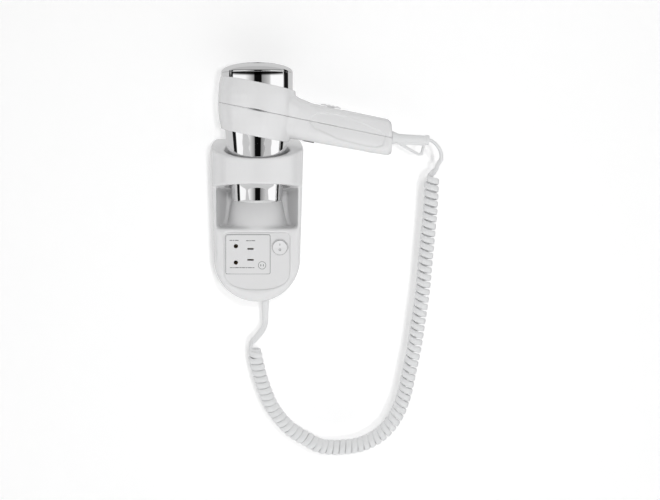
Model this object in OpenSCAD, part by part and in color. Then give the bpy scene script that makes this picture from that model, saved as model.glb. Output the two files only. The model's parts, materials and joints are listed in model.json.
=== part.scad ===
// Wall hair dryer: a holder with a shaver socket, a pistol dryer that hangs in its ring, and a curly cord.
// Frame: X to the right, the wall is the plane y = 0, the front faces -Y, +Z up.
// The origin is the centre of the four wall screws, half way up the holder.

/* [Holder] */
// Width of the holder's lower body
holder_w = 101; // [98:0.5:125]
// How much wider each side is at the top than at the bottom
holder_flare = 4; // [0:0.5:6]
// Height of the holder
holder_h = 190; // [180:1:230]
// Depth of the lower body, from the wall to its face
base_d = 62; // [55:1:72]
// Rounding of the lower body's front edge
face_round = 11; // [6:0.5:13]
// Thickness of the moulded walls
wall = 2.6; // [2:0.1:3.2]
// Radius of the ring's bore
ring_r = 38; // [36:0.5:46]
// Distance from the wall to the back of the ring's bore
ring_back = 14; // [12:0.5:20]
// Thickness of the ring at its front
ring_lip = 5; // [3:0.5:8]
// Height of the ring's front band
ring_band = 27.5; // [20:0.5:34]
// Depth of the nozzle's seat below the holder's top
seat_drop = 71.5; // [68:0.5:77]

/* [Socket and switch] */
// Width of the shaver socket's plate
socket_w = 51; // [48:0.5:54]
// Height of the shaver socket's plate
socket_h = 45; // [42:0.5:48]
// Distance between the round pins' holes
round_pitch = 19; // [18:0.5:20]
// Radius of the round holes
round_r = 2.5; // [2.2:0.1:2.8]
// Distance between the flat blades' slots
blade_pitch = 12.7; // [12:0.1:13.5]
// Radius of the mains rocker
rocker_r = 8.4; // [7:0.1:9]

/* [Wall screws] */
// Distance between the wall screws, across
screw_x = 60; // [50:1:64]
// Distance between the wall screws, up
screw_z = 120; // [110:1:130]
// Radius of the wall screws' holes
screw_r = 2.25; // [2:0.05:3]

/* [Dryer] */
// Radius of the chrome rear barrel
barrel_r = 41.8; // [40:0.2:46]
// Height of the barrel from the nozzle's end to the cap's top
barrel_h = 161.3; // [155:1:195]
// Outer radius of the nozzle's end
nozzle_r = 29.3; // [28:0.1:31]
// Outer radius of the white band at its widest
band_r = 45.6; // [44.5:0.1:50]
// Height of the white band, square to the handle
band_h = 60.6; // [52:0.5:66]
// Downward tilt of the handle in degrees
tilt = 11.5; // [8:0.5:14]
// Distance from the barrel's axis to the handle's end
handle_reach = 156; // [145:1:190]
// Height of the handle
handle_h = 44; // [40:0.5:50]
// Thickness of the handle, front to back
handle_w = 36; // [32:0.5:40]
// Thickness of the dryer's shells
shell = 2.2; // [1.8:0.1:2.6]

/* [Motor and fan] */
// Radius of the motor's can
motor_r = 14; // [12:0.5:16]
// Length of the motor's can
motor_l = 34; // [28:1:38]
// Radius of the motor's shaft
shaft_r = 1.15; // [1:0.05:1.5]
// Number of fan blades
blade_count = 9; // [5:1:11]

/* [Fits] */
// Gap between parts that are fixed together
gap = 0.1; // [0.05:0.01:0.15]
// Gap round parts that move
play = 0.4; // [0.3:0.05:0.6]
// Radial clearance of the shaft in its bushes
running = 0.03; // [0.02:0.01:0.08]

/* [Cord] */
// Outer radius of the curly cord
coil_r = 8.3; // [8:0.1:8.6]
// Thickness of the flat cable
cable_d = 4.2; // [4:0.1:4.6]

/* [Hidden] */
$fn = 64;
eps = 0.01;
far = 400;

white = [0.94, 0.94, 0.93];
chrome = [0.72, 0.73, 0.75];
dark = [0.12, 0.12, 0.13];
silver = [0.62, 0.63, 0.65];
copper = [0.75, 0.42, 0.2];
brass = [0.8, 0.65, 0.3];
mica = [0.78, 0.72, 0.58];

// ---------- Places worked out from the sizes above ----------
half_h = holder_h / 2;
base_r = holder_w / 2;
top_w = holder_w / 2 + holder_flare;
bottom_z = -half_h + base_r;              // centre of the round bottom
corner_r = 9;                             // top corners of the holder
barrel_d = ring_back + ring_r;            // distance from the wall to the dryer's barrel axis
ring_front = barrel_d + ring_r + ring_lip;
top_slope = 12.3;
ring_slope = 10.5;
ring_front_top = half_h - ring_front * tan(top_slope);
ring_front_low = ring_front_top - ring_band;
cheek = 4;                                // thickness of the walls beside the nozzle
seat_z = half_h - seat_drop;
shelf_z = seat_z - 31.5;                  // floor of the recess under the ring
recess_back = ring_back - 1;              // distance from the wall to the back of the recess
recess_curve = 30;                        // height of the curve at the foot of the recess
seat_foot_r = nozzle_r + 6.5;
seat_axis_d = base_d - seat_foot_r - 2;
recess_w = holder_w + holder_flare - 2 * cheek;
recess_back_w = 2 * seat_foot_r + 2;      // the recess narrows towards its back
side_web = 10;                            // solid left in front of and above the wedges beside the recess

panel_w = holder_w - 2 * face_round - 3;
panel_top = shelf_z - 5.2;
panel_bottom = -half_h + face_round + 5;
panel_t = 2.5;
panel_sink = 1.2;                         // how far the panel lies behind the face
panel_face = base_d - panel_sink;
socket_x = -panel_w / 2 + 2 + socket_w / 2;
socket_z = panel_top - 2.3 - socket_h / 2;
socket_t = 4;
socket_face = panel_face + 1;
round_x = socket_x - 14;
blade_x = socket_x + 3;
rocker_x = (socket_x + socket_w / 2 + panel_w / 2) / 2;
rocker_z = socket_z + 8;
rocker_axis_d = panel_face + 0.2;
switch_back = panel_face - 24;            // distance from the wall to the back of the switch
plate_t = 3;
core_w = 46;
core_h = 30;
core_x = -8;
core_z = bottom_z + 2;
plate_gap = 0.5;
boot_x = 10;
boot_d = 30;
boot_r = 4.4;
entry_z = 5;
post_x = 26;                              // screw posts on the wall plate
post_w = 9;
post_d = 9;                               // distance from the wall to their screws
hollow_inset = wall + face_round / 4;     // how far the lower hollow lies inside the outline
post_low = bottom_z - sqrt(pow(base_r - hollow_inset, 2) - pow(post_x + post_w / 2, 2)) + 1;
screw_shank_r = 1.4;
screw_head_r = 2.6;
screw_seat_z = bottom_z - sqrt(pow(base_r - hollow_inset, 2) - pow(post_x - screw_head_r, 2)) - 1.4;
panel_foot = 22;                          // height of the panel's curved foot
panel_ledge = 1.5;

nozzle_z = seat_z + 0.3;
cap_z = nozzle_z + barrel_h;
seam_z = nozzle_z + 105.3;                // where the handle's seam plane meets the barrel's axis
cap_h = 12.3;
cap_band = 0.8;                           // upright rim below the cap's dome
rim_z = cap_z - cap_h;                    // joint line between the rear barrel and its cap
barrel_wall = 1.6;
split_z = seam_z + 4;                     // where the rear barrel stops inside the band
front_top_z = split_z - 1;

// Outer profile of the front barrel: radius and height, from the nozzle up
front_profile = [[nozzle_r, nozzle_z], [nozzle_r + 1, nozzle_z + 17], [nozzle_r + 3.6, nozzle_z + 40],
    [nozzle_r + 6.2, nozzle_z + 65], [nozzle_r + 7.9, nozzle_z + 80], [nozzle_r + 8.9, nozzle_z + 90]];

motor_z = seam_z - 14;                    // lower end of the motor can
motor_top = motor_z + motor_l;
fan_z = motor_top + 7;
fan_h = 13;
fan_hub_r = motor_r - 1;
duct_r = barrel_r - barrel_wall - gap - 1.5;
fan_r = duct_r - 1;
filter_z = rim_z - 2;
grille_r = 27;
heater_low = nozzle_z + 9;
heater_high = motor_z - 12;
mica_t = 0.8;
ring_count = 7;

// Handle frame: u along the handle, v = Y, w up; its origin is on the barrel's axis in the seam plane
root_u = 38;
neck_u = 62;
end_u = handle_reach / cos(tilt);
seam_gap = 0.3;
leaf_l = 29;
leaf_h = 1.6;
slider_u = 84;
slider_l = 23;
slider_travel = 8;
slider_w = 11;
button_u = 66;
button_l = 13.4;
button_t = 9;
button_face = -handle_h / 2 - 2.6;
spring_low = button_face + 5.8;
spring_high = -12.6;
relief_r = 5.6;
relief_l = 45;
relief_z = seam_z - 32;
relief_tilt = 3.8;

// Route of the flat cable where it isn't coiled: x, y, z
upper_route = [[201.4, -52, 94.1], [204, -52, 93.6], [209, -52, 89.5], [213.5, -51, 84], [216, -50, 77],
    [216, -48, 71], [213.5, -47, 67], [212, -46, 64], [212, -46, 61]];
lower_route = [[10, -30, -121], [10, -30, -124], [7, -31, -132], [0, -32, -141], [-6, -33, -147],
    [-8, -35, -153], [-8, -35, -158]];
// Centre line of the curly stretch
coil_route = [[206, -46, 61], [206, -46, 55], [205.5, -46, 44], [204, -46, 15], [201, -45, -19],
    [198, -44, -53], [195, -43, -87], [190, -42, -122], [186, -41, -150], [180, -40, -180], [174, -39, -208],
    [165, -38, -232], [150, -37, -252], [128, -36, -266], [101, -36, -271], [76, -35, -270],
    [58, -35, -261], [40, -35, -250], [26, -35, -235], [16, -35, -220], [9, -35, -203],
    [4, -35, -188], [0, -35, -173], [-2, -35, -164], [-2, -35, -158]];

// ---------- Helpers ----------
function arc(cx, cy, r, from, to, steps = 12) =
    [for (i = [0:steps]) let (a = from + (to - from) * i / steps) [cx + r * cos(a), cy + r * sin(a)]];

// Outline of the holder seen from the front, drawn inwards by inset
function holder_outline(inset = 0) = concat(
    arc(0, bottom_z, base_r - inset, 180, 360, 30),
    arc(top_w - corner_r, half_h - corner_r, corner_r - min(inset, corner_r - 1), 0, 90, 6),
    arc(-top_w + corner_r, half_h - corner_r, corner_r - min(inset, corner_r - 1), 90, 180, 6));

// A superellipse, for soft-cornered sections
function soft_rect(w, h, power = 3.2, steps = 40) =
    [for (i = [0:steps - 1]) let (a = 360 * i / steps, c = cos(a), s = sin(a))
        [w / 2 * sign(c) * pow(abs(c), 2 / power), h / 2 * sign(s) * pow(abs(s), 2 / power)]];

// Extrudes a front view (x, z) from the wall side at distance d0 to distance d1 in front of the wall
module from_wall(d0, d1) {
    translate([0, -d0, 0]) rotate([90, 0, 0]) linear_extrude(d1 - d0) children();
}

// Extrudes a side view (distance from the wall, z) across the width w
module across(w) {
    translate([-w / 2, 0, 0]) rotate([90, 0, 90]) linear_extrude(w) mirror([1, 0]) children();
}

// Moves children onto the barrel's vertical axis
module on_barrel() {
    translate([0, -barrel_d, 0]) children();
}

// Places children in the handle's tilted frame
module on_handle() {
    translate([0, -barrel_d, seam_z]) rotate([0, tilt, 0]) children();
}

// Everything on one side of the seam, less half of the seam gap
module seam_half(upper = true) {
    w0 = upper ? seam_gap / 2 : -far - seam_gap / 2;
    on_handle() translate([-far / 2, -far / 2, w0]) cube([far, far, far]);
}

module screw_places() {
    for (x = [-1, 1], z = [-1, 1]) translate([x * screw_x / 2, 0, z * screw_z / 2]) children();
}

module post_places() {
    for (x = [-1, 1]) translate([x * post_x, -post_d, 0]) children();
}

// ---------- Holder ----------
module wall_plate() {
    color(white) difference() {
        union() {
            from_wall(0, plate_t) polygon(holder_outline(wall + plate_gap));
            post_places() translate([-post_w / 2, -5, post_low]) cube([post_w, post_d + 4, 13]);
        }
        post_places() translate([0, 0, post_low - 1]) cylinder(r = screw_shank_r + gap, h = 12);
        screw_places() rotate([90, 0, 0]) cylinder(r = screw_r, h = 3 * plate_t, center = true);
        // entry for the supply cable
        translate([0, 0, entry_z]) rotate([90, 0, 0]) cylinder(r = 10, h = 3 * plate_t, center = true);
    }
}

// Lower body: full outline with a rounded front edge, cut off along the sloping top
module holder_body(inset, depth, rounding) {
    difference() {
        hull() {
            from_wall(-eps, depth - rounding) polygon(holder_outline(inset));
            for (t = [30, 60]) from_wall(0, depth - rounding * (1 - sin(t)))
                polygon(holder_outline(inset + rounding * (1 - cos(t))));
            from_wall(0, depth) polygon(holder_outline(inset + rounding));
        }
        top_cut(inset);
    }
}

// The space above the holder's sloping top
module top_cut(inset = 0) {
    across(far) polygon([[-20, half_h - inset + 20 * tan(top_slope)], [far, half_h - inset - far * tan(top_slope)],
        [far, far], [-20, far]]);
}

// The ring's outer solid: round to the front, sloping above and below
module ring_body() {
    round_d = ring_front - top_w;
    intersection() {
        translate([0, 0, -half_h]) linear_extrude(holder_h) polygon(concat(
            arc(0, -round_d, top_w, 180, 360, 36), [[top_w, 0], [-top_w, 0]]));
        across(far) polygon([[0, half_h], [ring_front, ring_front_top], [ring_front, ring_front_low],
            [0, ring_front_low - ring_front * tan(ring_slope)]]);
        from_wall(0, ring_front) polygon(holder_outline());
    }
}

// Upright prism that the recess is cut from: it narrows towards the wall, and is grown by a margin
module recess_prism(grow = 0) {
    front = recess_w / 2 + grow;
    back = recess_back_w / 2 + grow;
    translate([0, 0, -far / 2]) linear_extrude(far) polygon([[-front, -far / 2], [-front, -base_d],
        [-back, -recess_back + grow], [back, -recess_back + grow], [front, -base_d], [front, -far / 2]]);
}

// Hollow recess under the ring, open to the front
module recess() {
    low_d = seat_axis_d + 8;
    intersection() {
        across(far) polygon(concat(
            [[far / 2, shelf_z], [low_d, shelf_z]],
            [for (i = [1:6]) let (a = 15 * i) [recess_back + (low_d - recess_back) * (1 - sin(a)),
                shelf_z + recess_curve * (1 - cos(a))]],
            [[recess_back, ring_low(recess_back)], [far / 2, ring_low(far / 2)]]));
        recess_prism();
    }
}

function ring_low(d) = ring_front_low - (ring_front - d) * tan(ring_slope);

// Half cone under the nozzle
module nozzle_seat(inset = 0) {
    difference() {
        translate([0, -seat_axis_d, shelf_z - eps - inset])
            cylinder(r1 = seat_foot_r - inset, r2 = nozzle_r + 0.5 - inset, h = seat_z - shelf_z + eps);
        translate([-far / 2, -recess_back + wall, -far / 2]) cube([far, far, far]);
    }
}

module housing_hollow() {
    holder_lower_hollow();
    // slot behind the recess
    from_wall(-1, recess_back - wall) intersection() {
        polygon(holder_outline(cheek + wall));
        translate([-far / 2, shelf_z - wall - 2]) square([far, half_h - 16 - shelf_z]);
    }
    // wedges beside the recess
    difference() {
        intersection() {
            from_wall(-1, base_d - 2 * side_web) polygon(holder_outline(wall));
            translate([-far / 2, -far / 2, shelf_z - wall - 2]) cube([far, far, recess_curve + side_web]);
        }
        recess_prism(wall);
    }
    nozzle_seat(wall);
    ring_hollow();
}

// Space inside the ring's two sides, open to the wall
module ring_hollow() {
    hollow_d = barrel_d + ring_r / 2;
    round_d = ring_front - top_w;
    difference() {
        intersection() {
            across(far) polygon([[-1, half_h - 2 * wall], [hollow_d, half_h - 2 * wall - hollow_d * tan(top_slope)],
                [hollow_d, ring_low(hollow_d) + wall], [-1, ring_low(-1) + wall]]);
            translate([0, 0, -half_h]) linear_extrude(holder_h) polygon(concat(
                arc(0, -round_d, top_w - wall - 1, 180, 360, 36), [[top_w - wall - 1, 1], [-top_w + wall + 1, 1]]));
            from_wall(-1, hollow_d + 1) polygon(holder_outline(wall + 1));
        }
        on_barrel() cylinder(r = ring_r + wall, h = far, center = true);
    }
}

module holder_lower_hollow() {
    difference() {
        from_wall(-1, base_d - wall - face_round / 3) polygon(holder_outline(hollow_inset));
        translate([-far / 2, -far / 2, shelf_z - wall]) cube([far, far, far]);
    }
    from_wall(-1, plate_t + plate_gap) polygon(holder_outline(wall));
}

module panel_outline(inset = 0) {
    w = panel_w / 2 - inset;
    foot_z = panel_bottom + panel_foot;
    steps = 24;
    polygon(concat(
        [for (i = [0:steps]) let (a = 180 + 180 * i / steps, c = cos(a))
            [w * sign(c) * pow(abs(c), 2 / 2.4), foot_z - (panel_foot - inset) * pow(-sin(a), 2 / 2.4)]],
        [[w, panel_top - 3 - inset], [w - 3, panel_top - inset],
            [-w + 3, panel_top - inset], [-w, panel_top - 3 - inset]]));
}

module holder_housing() {
    color(white) difference() {
        union() {
            difference() {
                union() {
                    holder_body(0, base_d, face_round);
                    ring_body();
                }
                recess();
                on_barrel() translate([0, 0, shelf_z + recess_curve]) cylinder(r = ring_r, h = far);
            }
            intersection() {
                nozzle_seat();
                translate([-far / 2, -base_d + 1, shelf_z - 1]) cube([far, base_d, far]);
            }
        }
        housing_hollow();
        from_wall(panel_face - panel_t - gap, far) panel_outline(-gap);
        from_wall(base_d / 2, far) panel_outline(panel_ledge);
        translate([boot_x, -boot_d, bottom_z]) rotate([180, 0, 0]) cylinder(r = boot_r + gap, h = far);
        post_places() {
            translate([0, 0, -half_h]) cylinder(r = screw_shank_r + gap, h = half_h + post_low);
            translate([0, 0, screw_seat_z - far]) cylinder(r = screw_head_r + 2 * gap, h = far);
        }
    }
}

module front_panel() {
    color(white) difference() {
        from_wall(panel_face - panel_t, panel_face) panel_outline();
        translate([socket_x, 0, socket_z]) from_wall(0, far)
            square([socket_w - 4 + 2 * gap, socket_h - 4 + 2 * gap], center = true);
        translate([rocker_x, 0, rocker_z]) from_wall(0, far) circle(r = rocker_r + 1.2);
    }
}

module round_places() {
    for (z = [-1, 1]) translate([round_x, 0, socket_z + z * round_pitch / 2]) children();
}

module blade_places() {
    for (z = [-1, 1]) translate([blade_x, 0, socket_z + z * blade_pitch / 2]) children();
}

module socket_plate() {
    color(white) difference() {
        union() {
            translate([socket_x, 0, socket_z]) from_wall(panel_face + eps * 2, socket_face)
                polygon(soft_rect(socket_w, socket_h, 14, 44));
            translate([socket_x, 0, socket_z]) from_wall(socket_face - socket_t, panel_face + 0.5)
                square([socket_w - 4, socket_h - 4], center = true);
        }
        round_places() from_wall(0, far) circle(r = round_r);
        blade_places() from_wall(0, far) square([7.2, 1.9], center = true);
    }
}

// Spring sleeves behind the round holes and clips behind the slots
module socket_contacts() {
    color(brass) {
        round_places() from_wall(socket_face - socket_t - 19, socket_face - socket_t - gap) difference() {
            circle(r = round_r + 0.9);
            circle(r = round_r + 0.2);
        }
        blade_places() for (z = [-1, 1]) translate([0, 0, z * 1.8])
            from_wall(socket_face - socket_t - 17, socket_face - socket_t - gap) square([6.4, 0.8], center = true);
    }
}

module transformer_core() {
    color(silver) translate([core_x, 0, core_z]) difference() {
        from_wall(plate_t + 1, plate_t + 27) square([core_w, core_h], center = true);
        for (x = [-1, 1]) translate([x * 11.5, 0, 0]) from_wall(0, far) square([9, 18], center = true);
    }
}

module transformer_coil() {
    color(copper) translate([core_x, 0, core_z]) difference() {
        from_wall(plate_t + 0.4, plate_t + 31) square([31, 17.6], center = true);
        // limb of the core that runs through the bobbin, and the core's sides
        from_wall(0, plate_t + 27 + gap) for (x = [-1, 0, 1]) translate([x * 23, 0])
            square([14.2, far], center = true);
    }
}

module mains_switch_body() {
    color(dark) translate([rocker_x, 0, rocker_z]) difference() {
        union() {
            from_wall(switch_back, panel_face - panel_t - gap) square([15, 17.4], center = true);
            from_wall(panel_face - panel_t - 2, panel_face + 0.9) circle(r = rocker_r + 1.2 - gap);
        }
        from_wall(panel_face - 9, far) circle(r = rocker_r + play);
    }
}

module mains_rocker() {
    color(white) translate([rocker_x, 0, rocker_z]) intersection() {
        // a round rim about the rocking axis clears the collar at every angle
        translate([0, -rocker_axis_d, 0]) sphere(r = rocker_r);
        // two shallow slopes that meet at the rocking axis
        across(far) polygon([[panel_face - 5, -4], [panel_face - 5, 4], [panel_face + 0.6, rocker_r + 2],
            [panel_face + 3, rocker_r + 2], [panel_face + 1.2, 0], [panel_face + 0.8, -rocker_r - 2],
            [panel_face - 2.4, -rocker_r - 2]]);
    }
}

module terminal_block() {
    color([0.85, 0.85, 0.8]) translate([24, 0, bottom_z + 4]) difference() {
        from_wall(plate_t + gap, plate_t + 15) square([18, 24], center = true);
        for (z = [-8, 0, 8]) translate([0, 0, z]) {
            from_wall(plate_t + 9, far) circle(r = 2);
            translate([-far / 2, -plate_t - 6, 0]) rotate([0, 90, 0]) cylinder(r = 1.6, h = far);
        }
    }
}

// Insulated leads between the terminal block, the switch and the transformer
module holder_leads() {
    lead_r = 1.1;
    lead_d = switch_back - lead_r - 3 * gap;
    lead_low = bottom_z - 19.5;
    color([0.25, 0.35, 0.7]) {
        for (z = [-8, 0]) translate([1.5, -lead_d, bottom_z + 4 + z]) rotate([0, 90, 0]) {
            cylinder(r = lead_r, h = rocker_x + 3.5);
            translate([0, 0, rocker_x + 3.5]) sphere(r = lead_r);
        }
        translate([rocker_x - 4, -lead_d, lead_low]) cylinder(r = lead_r, h = rocker_z + 2 - lead_low);
    }
}

// Screws that go up through the holder's underside into the wall plate's posts
module housing_screws() {
    head_z = screw_seat_z - gap;
    color(silver) post_places() {
        translate([0, 0, head_z]) cylinder(r = screw_shank_r, h = post_low - head_z + 9);
        translate([0, 0, head_z - 1.8]) cylinder(r = screw_head_r, h = 1.8);
    }
}

module holder_boot() {
    low = -half_h - 26;
    color(white) translate([boot_x, -boot_d, 0]) {
        translate([0, 0, low]) cylinder(r1 = 3.4, r2 = boot_r, h = 22);
        translate([0, 0, low + 22]) cylinder(r = boot_r, h = 14);
        translate([0, 0, low + 36]) cylinder(r = boot_r + 2.4, h = 3);
    }
}

// ---------- Dryer: barrel ----------
// Turns a profile of [radius, height] pairs into a tube whose wall is t thick
module profile_tube(profile, t) {
    n = len(profile);
    rotate_extrude() polygon(concat(profile,
        [for (i = [n - 1:-1:0]) [profile[i][0] - t, profile[i][1]]]));
}

module rear_barrel() {
    color(chrome) on_barrel() difference() {
        translate([0, 0, split_z]) cylinder(r = barrel_r, h = rim_z - split_z);
        translate([0, 0, split_z - 1]) cylinder(r = barrel_r - barrel_wall, h = far);
    }
}

// Height of the cap's dome at radius r
function dome_z(r) = cap_z - (cap_h - cap_band) * (1 - sqrt(max(0, 1 - pow(r / barrel_r, 2))));

module rear_cap() {
    start = asin((grille_r + gap) / barrel_r);
    radii = [for (i = [0:10]) barrel_r * sin(start + (90 - start) * i / 10)];
    color(chrome) on_barrel() rotate_extrude() polygon(concat(
        [for (r = radii) [r, dome_z(r)]],
        [[barrel_r, rim_z + gap], [barrel_r - barrel_wall, rim_z + gap]],
        [for (i = [10:-1:0]) [radii[i] - (i == 0 ? 0 : 1.4), max(rim_z + 0.6, dome_z(radii[i]) - 1.6)]]));
}

module intake_grille() {
    radii = [for (i = [0:6]) grille_r * i / 6];
    color(silver) on_barrel() difference() {
        rotate_extrude() polygon(concat(
            [for (r = radii) [r, dome_z(r)]],
            [for (i = [6:-1:0]) [radii[i], dome_z(radii[i]) - 1.6]]));
        for (r = [7:5:22]) for (a = [0:360 / 6:359]) rotate(a + r * 3)
            translate([0, 0, rim_z]) rotate_extrude(angle = 46) translate([r, 0]) square([2.6, cap_h + 2]);
    }
}

module intake_filter() {
    color(dark) on_barrel() translate([0, 0, filter_z]) difference() {
        cylinder(r = barrel_r - barrel_wall - gap, h = 1.2);
        for (r = [6:6:30]) for (a = [0:60:300]) rotate(a + r)
            rotate_extrude(angle = 48) translate([r, -1]) square([4, 4]);
    }
}

module front_barrel() {
    shoulder_z = nozzle_z + 90;
    color(chrome) on_barrel() {
        profile_tube(front_profile, barrel_wall);
        translate([0, 0, shoulder_z]) difference() {
            cylinder(r = nozzle_r + 8.9, h = front_top_z - shoulder_z);
            translate([0, 0, -1]) cylinder(r = nozzle_r + 8.9 - barrel_wall, h = far);
        }
    }
}

module outlet_grille() {
    outer = nozzle_r - barrel_wall - gap - 0.1;
    color(dark) on_barrel() translate([0, 0, nozzle_z + 1.5]) {
        for (r = [outer, outer - 7, outer - 14, outer - 21]) difference() {
            cylinder(r = r, h = 3);
            translate([0, 0, -1]) cylinder(r = r - 1.4, h = 5);
        }
        for (a = [0:45:135]) rotate(a) translate([-outer + 0.7, -0.7, 0.5]) cube([2 * outer - 1.4, 1.4, 2]);
    }
}

// ---------- Dryer: shells ----------
// Radius of the white band at height z: widest near the seam, narrower at its lower edge
function band_at(z) = let (dz = z - seam_z - 8) band_r - (dz > 0 ? 3.4 * pow(dz / 34, 2) : 7.2 * pow(dz / 42, 2));

module band_solid(inset = 0) {
    low = seam_z - band_h / 2 - 14;
    high = seam_z + band_h / 2 + 14;
    steps = 10;
    on_barrel() rotate_extrude() polygon(concat(
        [[0, low]], [for (i = [0:steps]) let (z = low + (high - low) * i / steps) [band_at(z) - inset, z]],
        [[0, high]]));
}

// Part of the band between its two tilted edges
module band_slice(inset = 0) {
    intersection() {
        band_solid(inset);
        on_handle() translate([-far / 2, -far / 2, -band_h / 2 + 0.8]) cube([far, far, band_h]);
    }
}

// Thin cross-section of the handle at distance u, from height w0 to w1
module handle_slice(u, w0, w1, thick, lean = 0) {
    on_handle() translate([u, 0, (w0 + w1) / 2]) rotate([0, lean, 0]) rotate([90, 0, 90])
        linear_extrude(0.02) polygon(soft_rect(thick, w1 - w0, 3.2, 36));
}

module handle_solid(inset = 0) {
    top_w0 = handle_h / 2 - 1.2;
    low_w0 = -handle_h / 2 - 1.8;
    hull() {
        handle_slice(root_u - 6, -band_h / 2 + 3 + inset, band_h / 2 - 1.5 - inset, 58 - 2 * inset);
        handle_slice(root_u + 8, low_w0 - 1 + inset, top_w0 + 3 - inset, 44 - 2 * inset);
    }
    hull() {
        handle_slice(root_u + 8, low_w0 - 1 + inset, top_w0 + 3 - inset, 44 - 2 * inset);
        handle_slice(neck_u, low_w0 + inset, top_w0 - inset, handle_w - 2 * inset);
    }
    hull() {
        handle_slice(neck_u, low_w0 + inset, top_w0 - inset, handle_w - 2 * inset);
        handle_slice(end_u - 4 - inset, low_w0 + 2 + inset, top_w0 - inset, handle_w - 1 - 2 * inset, -tilt);
        handle_slice(end_u - inset, low_w0 + 5 + inset, top_w0 - 3 - inset, handle_w - 7 - 2 * inset, -tilt);
    }
}

module handle_screw_places() {
    for (u = [root_u + 16, end_u - 20]) on_handle() translate([u, 0, 0]) children();
}

module shell_body(upper) {
    difference() {
        union() {
            difference() {
                union() {
                    band_slice();
                    handle_solid();
                }
                handle_solid(shell);
            }
            handle_screw_places() translate([0, 0, -handle_h / 2 - 0.5]) cylinder(r = 3.6, h = handle_h - 2);
        }
        shell_bore();
        seam_half(!upper);
        on_handle() translate([-far / 2, -far / 2, -seam_gap / 2]) cube([far, far, seam_gap]);
        leaf_prism(gap);
    }
}

// Space for the barrels inside the band
module shell_bore() {
    top_r = barrel_r + gap;
    on_barrel() rotate_extrude() polygon(concat(
        [[0, nozzle_z - 1], [nozzle_r + gap, nozzle_z - 1]],
        [for (p = front_profile) [p[0] + gap, p[1]]],
        [[nozzle_r + 8.9 + gap, seam_z - 17], [top_r, seam_z - 13], [top_r, cap_z], [0, cap_z]]));
}

module handle_shell_upper() {
    color(white) difference() {
        shell_body(true);
        // slot for the slider's stem, which travels towards the barrel
        on_top(slider_u - slider_travel / 2) cube([8 + slider_travel + 2 * play, 4 + 2 * play, 20], center = true);
        handle_screw_places() translate([0, 0, -1]) cylinder(r = 1.2, h = 13);
        relief_bore();
    }
}

module handle_shell_lower() {
    color(white) difference() {
        shell_body(false);
        on_handle() translate([button_u, 0, -handle_h / 2])
            cube([button_l + 2 * play, button_t + 2 * play, 16], center = true);
        handle_screw_places() {
            translate([0, 0, -far]) cylinder(r = 1.6, h = far + 1);
            translate([0, 0, -far - 8]) cylinder(r = 3, h = far);
        }
        relief_bore();
    }
}

module relief_bore() {
    on_relief(-8) cylinder(r = relief_r + gap, h = 20);
}

// Leaf-shaped prism that crosses the seam at the front of the band
module leaf_prism(grow = 0) {
    half = leaf_l / 2 + grow;
    high = leaf_h / 2 + grow;
    on_handle() translate([0, -band_r + 8, 0]) rotate([90, 0, 0]) linear_extrude(16) polygon(concat(
        [for (i = [-4:4]) [half * i / 4, high * (1.04 - pow(i / 4, 2))]],
        [for (i = [4:-1:-4]) [half * i / 4, -high * (1.04 - pow(i / 4, 2))]]));
}

// Small dark lens in the seam at the front of the band
module seam_inlay() {
    color(dark) intersection() {
        leaf_prism();
        difference() {
            band_solid(0.5);
            on_barrel() cylinder(r = barrel_r + 2 * gap, h = cap_z);
        }
    }
}

// ---------- Dryer: motor, fan and heater ----------
module motor_can() {
    color(silver) on_barrel() difference() {
        translate([0, 0, motor_z]) cylinder(r = motor_r, h = motor_l);
        translate([0, 0, motor_z - 1]) cylinder(r = motor_r - 1, h = motor_l);
        translate([0, 0, motor_z]) cylinder(r = 3.2, h = far);
    }
}

module motor_end_cap() {
    color(dark) on_barrel() translate([0, 0, motor_z - 5]) difference() {
        union() {
            cylinder(r = motor_r, h = 5 - gap);
            cylinder(r = motor_r - 1 - gap, h = 7);
        }
        translate([0, 0, -1]) cylinder(r = 3.2, h = far);
    }
}

module motor_bushes() {
    color(brass) on_barrel() for (z = [motor_z - 4.9, motor_top - 1]) translate([0, 0, z]) difference() {
        cylinder(r = 3.2 - gap / 2, h = z > motor_z ? 1 : 4);
        translate([0, 0, -1]) cylinder(r = shaft_r + running, h = far);
    }
}

// Tube round the fan with stator vanes that carry the motor
module fan_duct() {
    low = motor_z + 1;
    color(dark) on_barrel() {
        difference() {
            translate([0, 0, low]) cylinder(r = duct_r + 1.5, h = filter_z - low - 1);
            translate([0, 0, low - 1]) cylinder(r = duct_r, h = far);
            // step where the front barrel's narrower throat ends
            translate([0, 0, low - 1]) difference() {
                cylinder(r = far / 4, h = split_z + 2 - low);
                cylinder(r = nozzle_r + 8.9 - barrel_wall - gap, h = far, center = true);
            }
        }
        difference() {
            translate([0, 0, low]) cylinder(r = motor_r + 1.8, h = motor_l - 4);
            translate([0, 0, low - 1]) cylinder(r = motor_r + gap, h = far);
        }
        for (i = [0:6]) rotate(i * 360 / 7) translate([motor_r + 1.5, -0.7, split_z + 3])
            cube([duct_r - motor_r - 1.2, 1.4, 12]);
        // flange that joins the narrow and the wide part of the duct
        translate([0, 0, split_z + 1]) difference() {
            cylinder(r = duct_r + 1.5, h = 2);
            translate([0, 0, -1]) cylinder(r = nozzle_r + 8.9 - barrel_wall - gap - 1.5, h = far);
        }
    }
}

module motor_shaft() {
    color(silver) on_barrel() translate([0, 0, motor_z - 6])
        cylinder(r = shaft_r, h = fan_z + fan_h - motor_z + 5);
}

module motor_armature() {
    color(copper) on_barrel() translate([0, 0, motor_z + 4]) difference() {
        cylinder(r = motor_r - 4, h = motor_l - 9);
        translate([0, 0, -1]) cylinder(r = shaft_r, h = far);
        for (i = [0:4]) rotate(i * 72) translate([motor_r - 8, -1, -1]) cube([far, 2, far]);
    }
}

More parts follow.
